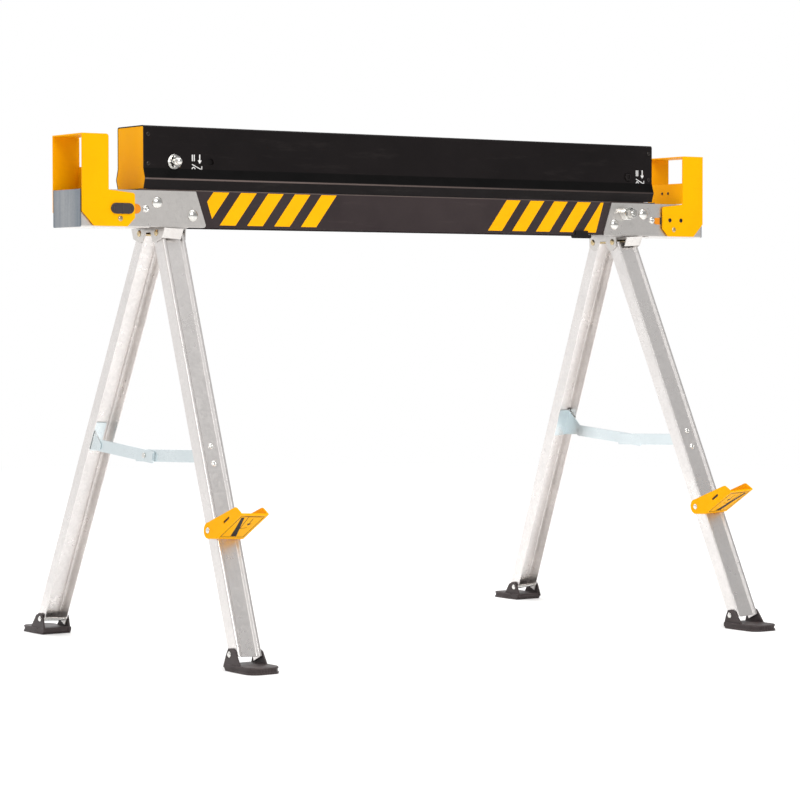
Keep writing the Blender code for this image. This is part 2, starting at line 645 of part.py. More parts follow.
def brace_layer(number):
    """The low and high x of one of four thin layers side by side: rear ear, rear link, front link, front ear."""
    low = -LEG_WIDTH / 2 + LEG_SHEET + 0.0005 + number * (BRACE_SHEET + GAP)
    return low, low + BRACE_SHEET


def make_lug(end, side, materials, collection):
    """The bracket inside the leg that carries a spreader link, with the link's own short pin."""
    name = side_names(end)[side]
    front = name == "front"
    pivot_y, pivot_z = brace_pivot(end, side)
    inside = side * (WEB_FROM_PIN - PANEL_DEPTH - LEG_SHEET - GAP)
    low, high = brace_layer(3 if front else 0)
    foot_low, foot_high = sorted((inside, inside - side * 0.0018))
    base = box("base", (-0.0187, foot_low, pivot_z - 0.028), (0.0100, foot_high, pivot_z + 0.022))
    edge = inside - side * 0.0008
    reach = 0.020 if front else 0.0275
    lobe = [(y * side + pivot_y, z + pivot_z) for y, z in arc((0, 0), LUG_LOBE, 100, 260, 6)]
    line = [(edge, pivot_z + reach * 0.75)] + lobe + [(edge, pivot_z - reach)]
    ear = plate("ear", line, "YZ", low, high)
    link_low, link_high = brace_layer(2 if front else 1)
    pin = rod("pin", "X", (pivot_y, pivot_z), 0.0025, min(low, link_low) + 0.0002, max(high, link_high) - 0.0002)
    lug = join(base, ear, pin)
    finish(lug, f"{name}_lug_{end}", leg_frame(end, side), materials["zinc"], collection)


def make_brace_link(end, side, materials, collection):
    """One half of the folding spreader, nearly level when the legs are open."""
    name = side_names(end)[side]
    to_legs = legs_frame(end).inverted() @ leg_frame(end, side)
    start = to_legs @ Vector((0, *brace_pivot(end, side)))
    centre_y, centre_z = BRACE_CENTRE
    middle = Vector((0, centre_y if end == "left" else -centre_y, centre_z))
    along = middle - start
    high = BRACE_HALF_HEIGHT
    reach = along.length + BRACE_OVERLAP
    square = rounded([(0, -high), (reach, -high), (reach, high), (0, high)], [0, 0.003, 0.003, 0])
    outline = arc((0, 0), high, 90, 270, 8)[1:-1] + square
    low, far = brace_layer(2 if name == "front" else 1)
    # The outline is drawn along +Y, then turned about X onto the line between the two pivots.
    link = plate("link", outline, "YZ", low, far)
    if name == "rear":
        tab = box("stop_tab", (low - 0.0023, reach - BRACE_SHEET, -high + 0.0032),
                  (low + 0.001, reach - 0.0001, high - 0.0032))
        join(link, tab)
    link.data.transform(Matrix.Translation(start) @ Matrix.Rotation(math.atan2(along.z, along.y), 4, "X"))
    cut(link, rod("hole", "X", (start.y, start.z), 0.0028, -0.03, 0.03))
    finish(link, f"{name}_brace_link_{end}", legs_frame(end), materials["zinc"], collection, start)
    if name == "rear":
        rivet = rod("rivet", "X", (middle.y, middle.z), 0.0045, low - 0.0016, low - GAP)
        finish(rivet, f"brace_rivet_{end}", legs_frame(end), materials["bolt"], collection)


def make_foot(end, side, materials, collection):
    """The plastic foot: a pad flat on the floor and two lugs that hold the leg's end."""
    name = side_names(end)[side]
    frame = leg_frame(end, side)
    local = end_frame(end).inverted() @ frame
    pin = local @ Vector((0, side * (WEB_FROM_PIN - FOOT_PIN_FROM_WEB), -LEG_FOOT_PIN))
    profile = rounded([(FOOT_INNER_Y + 0.004, 0), (FOOT_OUTER_Y, 0), (FOOT_OUTER_Y, FOOT_THICKNESS),
                       (FOOT_INNER_Y, FOOT_THICKNESS), (FOOT_INNER_Y, 0.005)],
                      [0.001, 0.003, 0.003, 0.002, 0.001], steps=2)
    centre = pin.x
    pad = plate("pad", [(side * y, z) for y, z in profile], "YZ", centre - FOOT_HALF_WIDTH, centre + FOOT_HALF_WIDTH)
    corners = rounded([(centre - FOOT_HALF_WIDTH, FOOT_INNER_Y - 0.01), (centre + FOOT_HALF_WIDTH, FOOT_INNER_Y - 0.01),
                       (centre + FOOT_HALF_WIDTH, FOOT_OUTER_Y), (centre - FOOT_HALF_WIDTH, FOOT_OUTER_Y)],
                      [0, 0, 0.016, 0.016])
    mask = plate("mask", [(x, side * y) for x, y in corners], "XY", -0.01, 0.05)
    combine(pad, [mask], "INTERSECT")
    low = LEG_WIDTH / 2 + 0.0008
    lug_line = [(pin.y - side * 0.016, 0.004), (pin.y + side * 0.033, 0.004), (pin.y + side * 0.014, pin.z + 0.0055),
                (pin.y + side * 0.004, pin.z + 0.0095), (pin.y - side * 0.004, pin.z + 0.0085),
                (pin.y - side * 0.009, pin.z)]
    lugs = []
    for hand in (-1, 1):
        near, far = sorted((hand * low, hand * (low + FOOT_LUG)))
        lug = plate("lug", lug_line, "YZ", near, far)
        lug.data.transform(Matrix.Translation((pin.x, 0, pin.z)) @ Matrix.Rotation(SIDE_TILT, 4, "Y")
                           @ Matrix.Translation((0, 0, -pin.z)))
        lugs.append(lug)
    foot = join(pad, *lugs)
    hole = rod("hole", "X", (0, 0), PIN_RADIUS + BOLT_CLEARANCE, -0.04, 0.04)
    hole.data.transform(Matrix.Translation(pin) @ Matrix.Rotation(SIDE_TILT, 4, "Y"))
    cut(foot, hole)
    finish(foot, f"{name}_foot_{end}", end_frame(end), materials["plastic"], collection, pin)
    bolt = cross_pin("pin", low + FOOT_LUG + GAP, PIN_RADIUS, 0.0048)
    pin_frame = end_frame(end) @ Matrix.Translation(pin) @ Matrix.Rotation(SIDE_TILT, 4, "Y")
    finish(bolt, f"{name}_foot_pin_{end}", pin_frame, materials["bolt"], collection)


def make_rest(end, materials, collection):
    """The U-shaped material rest on the front leg, shown swung out."""
    side = -1 if end == "left" else 1
    frame = leg_frame(end, side)
    to_legs = legs_frame(end).inverted() @ frame
    pivot = to_legs @ Vector((0, side * (WEB_FROM_PIN - REST_FROM_WEB), -REST_DOWN))
    inner = LEG_WIDTH / 2 + 0.0010
    lobe = arc((0, 0), REST_LOBE, 60, 250, 7)
    corner = rounded([(REST_LENGTH, -REST_PLATE_OFFSET + SHEET), (REST_LENGTH - 0.009, -0.0042), (0.014, 0.0095)],
                     [0, 0.006, 0], closed=False)
    outline = lobe + [(REST_START, -REST_PLATE_OFFSET), (REST_LENGTH, -REST_PLATE_OFFSET)] + corner
    cheeks = [plate("cheek", outline, "YZ", hand * inner if hand > 0 else -inner - REST_SHEET,
                    inner + REST_SHEET if hand > 0 else -inner) for hand in (-1, 1)]
    base = box("base", (-inner - 0.001, REST_START, -REST_PLATE_OFFSET),
               (inner + 0.001, REST_LENGTH, -REST_PLATE_OFFSET + REST_SHEET))
    rest = join(cheeks[0], cheeks[1], base)
    pin_hole = rod("pin_hole", "X", (0, 0), PIN_RADIUS + BOLT_CLEARANCE, -0.05, 0.05)
    slot = plate("slot", slotted((0.053, -0.0095), 0.019, 0.0040, 3), "YZ", -0.05, 0.05)
    cut(rest, pin_hole, slot)
    # Drawn along +Y, then turned to slope up and away from the leg.
    turn = Matrix.Rotation(REST_ANGLE, 4, "X")
    if side < 0:
        turn = Matrix.Scale(-1, 4, (0, 1, 0)) @ turn
    rest.data.transform(Matrix.Translation(pivot) @ turn)
    if side < 0:
        rest.data.flip_normals()
    finish(rest, f"material_rest_{end}", legs_frame(end), materials["yellow"], collection, pivot)
    pin = cross_pin("pin", inner + REST_SHEET + GAP, PIN_RADIUS, 0.0048)
    finish(pin, f"rest_pin_{end}", legs_frame(end) @ Matrix.Translation(pivot), materials["bolt"], collection)


def main():
    clear_scene()
    materials = make_materials()
    collection = bpy.data.collections.new("sawhorse")
    bpy.context.scene.collection.children.link(collection)
    make_top_beam(materials, collection)
    make_lower_rail(materials, collection)
    for end in ENDS:
        make_end_cap(end, materials, collection)
        make_end_bracket(end, materials, collection)
        make_through_bolts(end, materials, collection)
        make_clamp_bolt(end, materials, collection)
        make_plunger(end, materials, collection)
        if end == "right":
            make_leg_clip(end, materials, collection)
        make_arm(end, materials, collection)
        make_guide_pin(end, materials, collection)
        make_lock(end, materials, collection)
        make_hanger(end, materials, collection)
        make_rest(end, materials, collection)
        for side in (-1, 1):
            make_leg(end, side, materials, collection)
            make_lug(end, side, materials, collection)
            make_brace_link(end, side, materials, collection)
            make_foot(end, side, materials, collection)


main()
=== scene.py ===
"""The sawhorse's looks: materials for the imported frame, small added pieces, floor, light and camera."""

import math

import bmesh
import bpy
from mathutils import Matrix, Vector


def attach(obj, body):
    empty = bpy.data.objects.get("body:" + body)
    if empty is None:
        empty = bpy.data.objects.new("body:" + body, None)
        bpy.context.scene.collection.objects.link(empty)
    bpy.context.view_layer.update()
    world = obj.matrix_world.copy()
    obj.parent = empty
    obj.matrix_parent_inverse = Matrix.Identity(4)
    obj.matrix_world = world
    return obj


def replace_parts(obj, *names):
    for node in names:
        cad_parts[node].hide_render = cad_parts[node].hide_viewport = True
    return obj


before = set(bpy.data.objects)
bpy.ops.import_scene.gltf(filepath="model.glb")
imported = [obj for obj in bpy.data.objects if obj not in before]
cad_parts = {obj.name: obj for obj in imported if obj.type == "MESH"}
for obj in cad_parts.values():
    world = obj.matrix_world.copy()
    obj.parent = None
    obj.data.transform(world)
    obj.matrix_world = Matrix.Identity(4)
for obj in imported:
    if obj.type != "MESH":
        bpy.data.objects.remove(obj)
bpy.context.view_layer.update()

# Sizes repeated from the CAD model, in metres, in the left end's own frame.
ENDS = ("left", "right")
CAP_FACE = 0.0405
RAIL_FACE = 0.0410
BRACKET_FACE = 0.0433
ARM_FACE = 0.0472
WEB_FROM_PIN = 0.010
PIVOT_Z = 0.6755
LEG_CENTRE_X = -0.4506
SIDE_TILT = math.radians(3.1)
SPREAD = math.radians(23.95)
LEG_PIN_Y = 0.0265
LEG_PIN_DROP = 0.0280
PANEL_DEPTH = 0.0030
# Places on the end's faces, as (x, z).
CLAMP_BOLT = (-0.4520, 0.7580)
PLUNGER = (-0.4430, 0.6950)
BRACKET_RIVET = (-0.5035, 0.6845)
GRIP = (-0.547, 0.6843)
ARM_TAB = (-0.5135, 0.6832)
CAP_SCREW_X, CAP_SCREW_HEIGHTS = -0.4977, (0.7995, 0.7545)
ARM_SCREWS_X, ARM_SCREW_Z = (-0.541, -0.566), 0.685
WALL_X, WALL_SCREWS_Y, WALL_SCREW_Z = -0.570, (-0.008, 0.008), 0.7335
# The clamp bolt's head is set back behind the access hole.
HEAD_DEPTH = 0.0370
MARKS_Z = 0.7585
MARKS = ((-1, -0.4105, "nut"), (1, -0.4790, "head"))
RIVETS_DOWN = {"front": (0.3567, 0.3850), "rear": (0.3400, 0.3690)}


# ---------------------------------------------------------------- materials

class Shader:
    """A material with one Principled shader, written node by node. Its patterns are in metres."""

    def __init__(self, name, **values):
        self.material = bpy.data.materials.new(name)
        self.material.use_nodes = True
        self.tree = self.material.node_tree
        self.principled = self.tree.nodes["Principled BSDF"]
        for socket, value in values.items():
            self.principled.inputs[socket.replace("_", " ")].default_value = value
        self.place = self.node("TexCoord").outputs["Object"]

    def node(self, kind, inputs=None, **settings):
        node = self.tree.nodes.new("ShaderNode" + kind)
        for key, value in settings.items():
            setattr(node, key, value)
        for key, value in (inputs or {}).items():
            if isinstance(value, bpy.types.NodeSocket):
                self.tree.links.new(value, node.inputs[key])
            else:
                node.inputs[key].default_value = value
        return node

    def stretched(self, stretch):
        return self.node("Mapping", {"Vector": self.place, "Scale": stretch}).outputs[0]

    def noise(self, scale, detail=3.0, roughness=0.55, stretch=(1, 1, 1)):
        inputs = {"Vector": self.stretched(stretch), "Scale": scale, "Detail": detail, "Roughness": roughness}
        return self.node("TexNoise", inputs).outputs["Fac"]

    def cells(self, scale, output="Color", stretch=(1, 1, 1)):
        return self.node("TexVoronoi", {"Vector": self.stretched(stretch), "Scale": scale}).outputs[output]

    def ranged(self, value, low, high, to_low=0.0, to_high=1.0):
        inputs = {"Value": value, "From Min": low, "From Max": high, "To Min": to_low, "To Max": to_high}
        return self.node("MapRange", inputs).outputs[0]

    def mix(self, factor, first, second):
        node = self.node("Mix", data_type="RGBA")
        for key, value in (("Factor_Float", factor), ("A_Color", first), ("B_Color", second)):
            socket = next(s for s in node.inputs if s.identifier == key)
            if isinstance(value, bpy.types.NodeSocket):
                self.tree.links.new(value, socket)
            elif key == "Factor_Float":
                socket.default_value = value
            else:
                socket.default_value = (*value, 1.0)
        return next(s for s in node.outputs if s.identifier == "Result_Color")

    def maths(self, operation, first, second):
        return self.node("Math", {0: first, 1: second}, operation=operation).outputs[0]

    def edges(self, radius, start=0.985, full=0.90):
        """1 on an edge or corner that is rubbed, 0 on a flat face."""
        rounded = self.node("Bevel", {"Radius": radius}, samples=4).outputs[0]
        flat = self.node("NewGeometry").outputs["Normal"]
        dot = self.node("VectorMath", {0: rounded, 1: flat}, operation="DOT_PRODUCT").outputs["Value"]
        return self.ranged(dot, start, full)

    def height(self):
        return self.node("SeparateXYZ", {0: self.place}).outputs["Z"]

    def along(self):
        return self.node("SeparateXYZ", {0: self.place}).outputs["X"]

    def near(self, value, centre, half, soft):
        """1 within half of centre, falling to 0 over soft."""
        off = self.node("Math", {0: self.maths("SUBTRACT", value, centre)}, operation="ABSOLUTE").outputs[0]
        return self.ranged(off, half, half + soft, 1.0, 0.0)

    def bump(self, *layers):
        """Each layer is (height, distance in metres, strength)."""
        normal = None
        for height, distance, strength in layers:
            inputs = {"Height": height, "Distance": distance, "Strength": strength}
            if normal is not None:
                inputs["Normal"] = normal
            normal = self.node("Bump", inputs).outputs[0]
        self.tree.links.new(normal, self.principled.inputs["Normal"])

    def drive(self, socket, value):
        self.tree.links.new(value, self.principled.inputs[socket])


def powder_coat(name, colour, dark, worn, roughness, specular, wear=0.35, peel=0.35, painted_light_bands=()):
    """Powder coat: an orange-peel surface, faint clouding, dust in patches and rubbed edges.

    Each painted light band is (height, half its width, soft edge, colour, strength at the left end, and at the right
    end), for painted shade or a painted highlight along a bend.
    """
    s = Shader(name, Specular_IOR_Level=specular)
    clouds = s.ranged(s.noise(9, 4), 0.35, 0.68)
    base = s.mix(clouds, colour, dark)
    rubbed = s.maths("MULTIPLY", s.edges(0.0016), s.ranged(s.noise(140, 4), 0.42, 0.62, 0.0, wear))
    base = s.mix(rubbed, base, worn)
    scuffs = s.ranged(s.noise(26, 6, 0.7, (0.35, 1.2, 2.6)), 0.56, 0.74, 0.0, 0.22)
    base = s.mix(scuffs, base, worn)
    # Painted light bands: painted shade or a painted highlight along a bend, stronger towards one end.
    for centre, half, soft, painted_light, left, right in painted_light_bands:
        amount = s.maths("MULTIPLY", s.ranged(s.noise(11, 3, 0.5, (1, 0, 0)), 0.3, 0.7, 0.75, 1.0),
                         s.ranged(s.along(), -0.3, 0.45, left, right))
        base = s.mix(s.maths("MULTIPLY", s.near(s.height(), centre, half, soft), amount), base, painted_light)
    s.drive("Base Color", base)
    s.drive("Roughness", s.ranged(s.noise(60, 4), 0.3, 0.7, roughness - 0.05, roughness + 0.07))
    s.bump((s.noise(900, 2), 0.00012, peel), (s.noise(3200, 2), 0.00004, 0.25))
    return s.material


def plated(name, colour, shade, roughness, spangle, grain=(1, 1, 1), metallic=1.0, flow=0.06, shaded_end_x=None):
    """Plated or galvanised steel: crystal cells of slightly different brightness, clouding and rolling lines.

    Past the given x on either side, it is painted darker and bluer in upright streaks: painted shade and a painted
    reflection on the end face.
    """
    s = Shader(name, Metallic=metallic)
    crystals = s.ranged(s.cells(spangle), 0.1, 0.9)
    clouds = s.ranged(s.noise(14, 5), 0.33, 0.68)
    base = s.mix(s.maths("MULTIPLY", crystals, 0.45), colour, shade)
    base = s.mix(s.maths("MULTIPLY", clouds, 0.55), base, shade)
    lines = s.noise(90, 3, 0.6, grain)
    base = s.mix(s.ranged(lines, 0.5, 0.8, 0.0, 0.35), base, shade)
    grime = s.ranged(s.noise(38, 5, 0.7), 0.62, 0.78, 0.0, 0.35)
    base = s.mix(grime, base, tuple(0.6 * c for c in shade))
    # Painted shade and painted reflection: the end face past the given x is darker and bluer, in upright streaks.
    if shaded_end_x:
        out = s.ranged(s.node("Math", {0: s.along()}, operation="ABSOLUTE").outputs[0], shaded_end_x, shaded_end_x + 0.001)
        painted_shade_streaks = s.ranged(s.noise(38, 4, 0.6, (0, 1.0, 0.06)), 0.30, 0.66, 0.55, 1.0)
        base = s.mix(s.maths("MULTIPLY", out, painted_shade_streaks), base, (0.17, 0.205, 0.245))
    s.drive("Base Color", base)
    rough = s.maths("ADD", s.ranged(crystals, 0, 1, roughness - flow, roughness + flow),
                    s.ranged(clouds, 0, 1, -0.03, 0.05))
    s.drive("Roughness", rough)
    s.bump((s.cells(spangle, "Distance"), 0.00005, 0.25), (lines, 0.00006, 0.3))
    return s.material


def moulded(name, colour, dark, roughness, grain=1500):
    """Moulded plastic: a fine spark-eroded grain, slight clouding and paler scuffed edges."""
    s = Shader(name, Specular_IOR_Level=0.25)
    base = s.mix(s.ranged(s.noise(18, 4), 0.35, 0.7), colour, dark)
    pale = tuple(min(1.0, 1.9 * c + 0.02) for c in colour)
    base = s.mix(s.maths("MULTIPLY", s.edges(0.0018), s.ranged(s.noise(110, 4), 0.4, 0.65, 0.05, 0.45)), base, pale)
    s.drive("Base Color", base)
    s.drive("Roughness", s.ranged(s.noise(75, 4), 0.3, 0.7, roughness - 0.07, roughness + 0.08))
    s.bump((s.noise(grain, 3), 0.00012, 0.5), (s.noise(45, 3), 0.0003, 0.15))
    return s.material


def printed(name, colour, dark, roughness):
    """Ink or film: slightly uneven, with small worn specks."""
    s = Shader(name, Specular_IOR_Level=0.10)
    base = s.mix(s.ranged(s.noise(30, 4), 0.3, 0.7), colour, dark)
    specks = s.ranged(s.noise(420, 3, 0.7), 0.70, 0.78, 0.0, 0.5)
    base = s.mix(specks, base, tuple(0.35 * c for c in colour))
    s.drive("Base Color", base)
    s.drive("Roughness", s.ranged(s.noise(55, 4), 0.3, 0.7, roughness - 0.05, roughness + 0.08))
    s.bump((s.noise(1100, 2), 0.00008, 0.3),)
    return s.material


def make_materials():
    return {
        "black_paint": powder_coat("black_coat", (0.0082, 0.0062, 0.0064), (0.0056, 0.0042, 0.0044),
                                   (0.042, 0.035, 0.033), 0.46, 0.10,
                                   # Painted shade on the flare above the ridge, and a painted highlight along the ridge
                                   # that fades to the right.
                                   painted_light_bands=((0.7402, 0.0068, 0.0012, (0.0004, 0.0003, 0.0003), 1.0, 1.0),
                                          (0.7312, 0.0008, 0.0008, (0.15, 0.115, 0.105), 0.95, 0.25))),
        "rail_paint": powder_coat("rail_coat", (0.040, 0.0295, 0.030), (0.029, 0.021, 0.022),
                                  (0.090, 0.072, 0.068), 0.47, 0.14,
                                  # A painted highlight along the rail's top edge, and painted shade on its hidden neck,
                                  # which shows dark through the slot hole.
                                  painted_light_bands=((0.7142, 0.0005, 0.0006, (0.14, 0.11, 0.10), 0.8, 0.5),
                                         (0.7650, 0.0490, 0.0010, (0.0005, 0.0005, 0.0005), 1.0, 1.0))),
        "yellow_paint": powder_coat("yellow_coat", (0.92, 0.42, 0.0), (0.86, 0.385, 0.0),
                                    (0.64, 0.28, 0.004), 0.45, 0.05, 0.25),
        "zinc_plate": plated("zinc", (0.74, 0.71, 0.68), (0.60, 0.575, 0.555), 0.34, 420, (0.15, 1.0, 3.0)),
        # The end brackets, with painted shade and a painted reflection on their outer end walls.
        "bracket_zinc_shaded_end": plated("bracket_zinc_shaded_end", (0.74, 0.71, 0.68), (0.60, 0.575, 0.555), 0.34, 420,
                               (0.15, 1.0, 3.0), shaded_end_x=0.6150),
        "blue_zinc": plated("blue_zinc", (0.72, 0.78, 0.80), (0.62, 0.69, 0.71), 0.30, 1800, (3.0, 1.0, 0.6),
                            flow=0.02),
        "galvanised_steel": plated("galvanised", (0.84, 0.805, 0.785), (0.68, 0.655, 0.64), 0.33, 260,
                                   (4.0, 4.0, 0.2)),
        "bolt_steel": plated("bright_steel", (0.82, 0.81, 0.78), (0.60, 0.59, 0.56), 0.14, 900, (3, 3, 3)),
        "yellow_zinc": plated("yellow_zinc", (0.66, 0.52, 0.30), (0.46, 0.36, 0.21), 0.24, 900, (3, 3, 3)),
        "dark_plastic": moulded("dark_plastic", (0.052, 0.040, 0.040), (0.038, 0.029, 0.029), 0.48),
        "orange_plastic": moulded("orange_plastic", (0.72, 0.24, 0.008), (0.60, 0.19, 0.006), 0.45),
        "screw_black": plated("screw_black", (0.050, 0.043, 0.041), (0.020, 0.017, 0.016), 0.30, 900, (3, 3, 3), 0.8),
        "film_yellow": printed("film_yellow", (0.94, 0.43, 0.0), (0.90, 0.40, 0.0), 0.42),
        "ink_black": printed("ink_black", (0.010, 0.009, 0.009), (0.016, 0.013, 0.013), 0.46),
        "ink_white": printed("ink_white", (0.78, 0.77, 0.76), (0.68, 0.67, 0.66), 0.45),
    }


MATERIALS = make_materials()


def special_material(node):
    """Nodes whose finish differs from their slot's usual one."""
    if "leg_pin" in node or "guide_pin" in node:
        return MATERIALS["yellow_zinc"]
    if "bracket" in node:
        return MATERIALS["bracket_zinc_shaded_end"]
    if "clip" in node:
        return MATERIALS["ink_black"]
    if "brace_link" in node or "lug" in node:
        return MATERIALS["blue_zinc"]
    return None


def dress_frame():
    """Gives each CAD node its material, rounded edges and smooth shading. Its vertices stay as packed."""
    for name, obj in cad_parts.items():
        for slot in obj.material_slots:
            slot.material = special_material(name) or MATERIALS[slot.material.name]
        mesh = obj.data
        if "custom_normal" in mesh.attributes:
            mesh.attributes.remove(mesh.attributes["custom_normal"])
        mesh.polygons.foreach_set("use_smooth", [True] * len(mesh.polygons))
        weld = obj.modifiers.new("weld", "WELD")
        weld.merge_threshold = 1e-5
        flat = obj.modifiers.new("flat", "DECIMATE")
        flat.decimate_type = "DISSOLVE"
        flat.angle_limit = math.radians(0.6)
        bevel = obj.modifiers.new("edge", "BEVEL")
        bevel.limit_method = "ANGLE"
        bevel.angle_limit = math.radians(28)
        bevel.width = 0.0008 if "_leg_" in name and "pin" not in name else 0.0004
        bevel.segments = 2
        bevel.miter_outer = "MITER_ARC"
        bevel.use_clamp_overlap = True
        normals = obj.modifiers.new("normals", "WEIGHTED_NORMAL")
        normals.keep_sharp = False
        normals.weight = 80


# ---------------------------------------------------------------- small pieces

def end_frame(end):
    return Matrix.Identity(4) if end == "left" else Matrix.Rotation(math.pi, 4, "Z")


def legs_frame(end):
    place = Matrix.Translation((LEG_CENTRE_X, 0, PIVOT_Z))
    return end_frame(end) @ place @ Matrix.Rotation(SIDE_TILT, 4, "Y")


def leg_frame(end, side):
    pin = Matrix.Translation((0, side * LEG_PIN_Y, -LEG_PIN_DROP))
    return legs_frame(end) @ pin @ Matrix.Rotation(side * SPREAD, 4, "X")


def axes(origin, across, up, out):
    """A frame with these three directions as its X, Y and Z."""
    rotation = Matrix((across, up, out)).transposed().to_4x4()
    return Matrix.Translation(origin) @ rotation


def face(end, side, x, depth, z):
    """A frame on an upright face across Y in the end's own frame: X along it, Y up, Z out of it."""
    across = (1, 0, 0) if side < 0 else (-1, 0, 0)
    return end_frame(end) @ axes((x, side * depth, z), across, (0, 0, 1), (0, side, 0))


def add_prism(bm, outline, low, high, place, inset=0.0):
    """A plate of this outline, from low to high along the frame's Z, its far edge chamfered by inset."""
    area = sum(a[0] * b[1] - b[0] * a[1] for a, b in zip(outline, outline[1:] + outline[:1]))
    if area < 0:
        outline = outline[::-1]
    count = len(outline)
    centre = Vector((sum(p[0] for p in outline), sum(p[1] for p in outline))) / count
    rings = [(low, 0.0), (high - inset, 0.0), (high, inset)] if inset else [(low, 0.0), (high, 0.0)]
    made = []
    for height, pull in rings:
        ring = []
        for point in outline:
            p = Vector(point)
            if pull:
                p -= (p - centre).normalized() * pull
            ring.append(bm.verts.new(place @ Vector((p.x, p.y, height))))
        made.append(ring)
    bm.faces.new(made[0][::-1])
    bm.faces.new(made[-1])
    for below, above in zip(made, made[1:]):
        for i in range(count):
            j = (i + 1) % count
            bm.faces.new((below[i], below[j], above[j], above[i]))


def add_turned(bm, profile, place, steps=24):
    """A solid turned about the frame's Z. A profile row is (radius, height) or (radius, height, "hex")."""
    rings = []
    for row in profile:
        radius, height = row[:2]
        if radius == 0:
            rings.append([bm.verts.new(place @ Vector((0, 0, height)))])
            continue
        ring = []
        for i in range(steps):
            angle = 2 * math.pi * i / steps
            r = radius
            if len(row) > 2:
                r *= math.cos(math.pi / 6) / math.cos(angle % (math.pi / 3) - math.pi / 6)
            ring.append(bm.verts.new(place @ Vector((r * math.cos(angle), r * math.sin(angle), height))))
        rings.append(ring)
    for below, above in zip(rings, rings[1:]):
        for i in range(steps):
            j = (i + 1) % steps
            if len(below) == 1:
                bm.faces.new((below[0], above[i], above[j]))
            elif len(above) == 1:
                bm.faces.new((below[i], below[j], above[0]))
            else:
                bm.faces.new((below[i], below[j], above[j], above[i]))


def add_screw(bm, place, radius, height, socket=0.42):
    """A domed screw head with a hexagonal socket, its underside 0.1 mm inside the surface."""
    deep = height * 0.35
    profile = [(0, -0.0001), (radius, -0.0001), (radius, height * 0.25), (radius * 0.93, height * 0.62),
               (radius * 0.72, height * 0.92), (radius * (socket + 0.08), height),
               (radius * socket, height * 0.96, "hex"), (radius * socket * 0.94, deep, "hex"), (0, deep * 0.8)]
    add_turned(bm, profile, place)


def add_rivet(bm, place, radius, height):
    """A rivet's domed head with the dimple of the setting tool."""
    profile = [(0, -0.0001), (radius, -0.0001), (radius, height * 0.2), (radius * 0.92, height * 0.55),
               (radius * 0.70, height * 0.9), (radius * 0.45, height), (radius * 0.30, height * 0.82),
               (0, height * 0.70)]
    add_turned(bm, profile, place)


def piece(name, bm, body, slot, material=None):
    """The finished mesh as an object that rides on a CAD body."""
    bmesh.ops.recalc_face_normals(bm, faces=bm.faces)
    mesh = bpy.data.meshes.new(name)
    bm.to_mesh(mesh)
    bm.free()
    mesh.polygons.foreach_set("use_smooth", [True] * len(mesh.polygons))
    mesh.set_sharp_from_angle(angle=math.radians(32))
    obj = bpy.data.objects.new(name, mesh)
    bpy.context.scene.collection.objects.link(obj)
    mesh.materials.append(MATERIALS[material or slot])
    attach(obj, body)
    return obj


def clipped(polygon, inside):
    """The part of a convex polygon where inside(point) is positive."""
    result = []
    for a, b in zip(polygon, polygon[1:] + polygon[:1]):
        low, high = inside(a), inside(b)
        if low >= 0:
            result.append(a)
        if (low >= 0) != (high >= 0):
            t = low / (low - high)
            result.append((a[0] + t * (b[0] - a[0]), a[1] + t * (b[1] - a[1])))
    return result


STRIPE_FIRST, STRIPE_PITCH, STRIPE_COUNT = 0.1852, 0.0503, 5
STRIPE_HALF_WIDTH, STRIPE_LEAN = 0.01445, 0.0196
STRIPE_LOW, STRIPE_HIGH = 0.6614, 0.7128
STRIPE_CUT_X, STRIPE_CUT_SLOPE = 0.3893, 0.328


def make_hazard_stripes():
    """Two groups of slanted film stripes on each face of the rail, cut off along the bracket's edge."""
    middle = (STRIPE_LOW + STRIPE_HIGH) / 2
    for end in ENDS:
        for side, word in ((-1, "front"), (1, "rear")):
            bm = bmesh.new()
            # In this frame X runs to the right as seen from outside, so the lean is the same on both faces.
            place = axes((0, side * RAIL_FACE, 0), (-side, 0, 0), (0, 0, 1), (0, side, 0))
            hand = (-1 if end == "left" else 1) * -side
            for number in range(STRIPE_COUNT):
                x = hand * (STRIPE_FIRST + STRIPE_PITCH * number)
                low, high = x - STRIPE_LEAN, x + STRIPE_LEAN
                stripe = [(low - STRIPE_HALF_WIDTH, STRIPE_LOW), (low + STRIPE_HALF_WIDTH, STRIPE_LOW),
                          (high + STRIPE_HALF_WIDTH, STRIPE_HIGH), (high - STRIPE_HALF_WIDTH, STRIPE_HIGH)]
                stripe = clipped(stripe, lambda p: STRIPE_CUT_X + (p[1] - middle) * STRIPE_CUT_SLOPE - hand * p[0])
                add_prism(bm, stripe, -0.00005, 0.00022, place, 0.00008)
            piece(f"hazard_stripes_{word}_{end}", bm, "beam", "rail_paint", "film_yellow")


def make_cap_screws():
    """The small dark screws that hold the end caps, and the rivets of the end brackets."""
    for end in ENDS:
        screws, rivets = bmesh.new(), bmesh.new()
        for side in (-1, 1):
            for z in CAP_SCREW_HEIGHTS:
                add_screw(screws, face(end, side, CAP_SCREW_X, CAP_FACE, z), 0.0034, 0.0014, 0.5)
            x, z = BRACKET_RIVET
            add_rivet(rivets, face(end, side, x, BRACKET_FACE, z), 0.0060, 0.0026)
        piece(f"end_cap_screws_{end}", screws, "beam", "bolt_steel", "screw_black")
        piece(f"bracket_rivets_{end}", rivets, "beam", "bolt_steel")


def ring_points(x, y, radius, count=20):
    return [(x + radius * math.cos(2 * math.pi * i / count), y + radius * math.sin(2 * math.pi * i / count))
            for i in range(count)]


def bar_points(start, end, width):
    a, b = Vector(start), Vector(end)
    side = Vector((-(b - a).y, (b - a).x)).normalized() * width / 2
    return [tuple(a - side), tuple(b - side), tuple(b + side), tuple(a + side)]


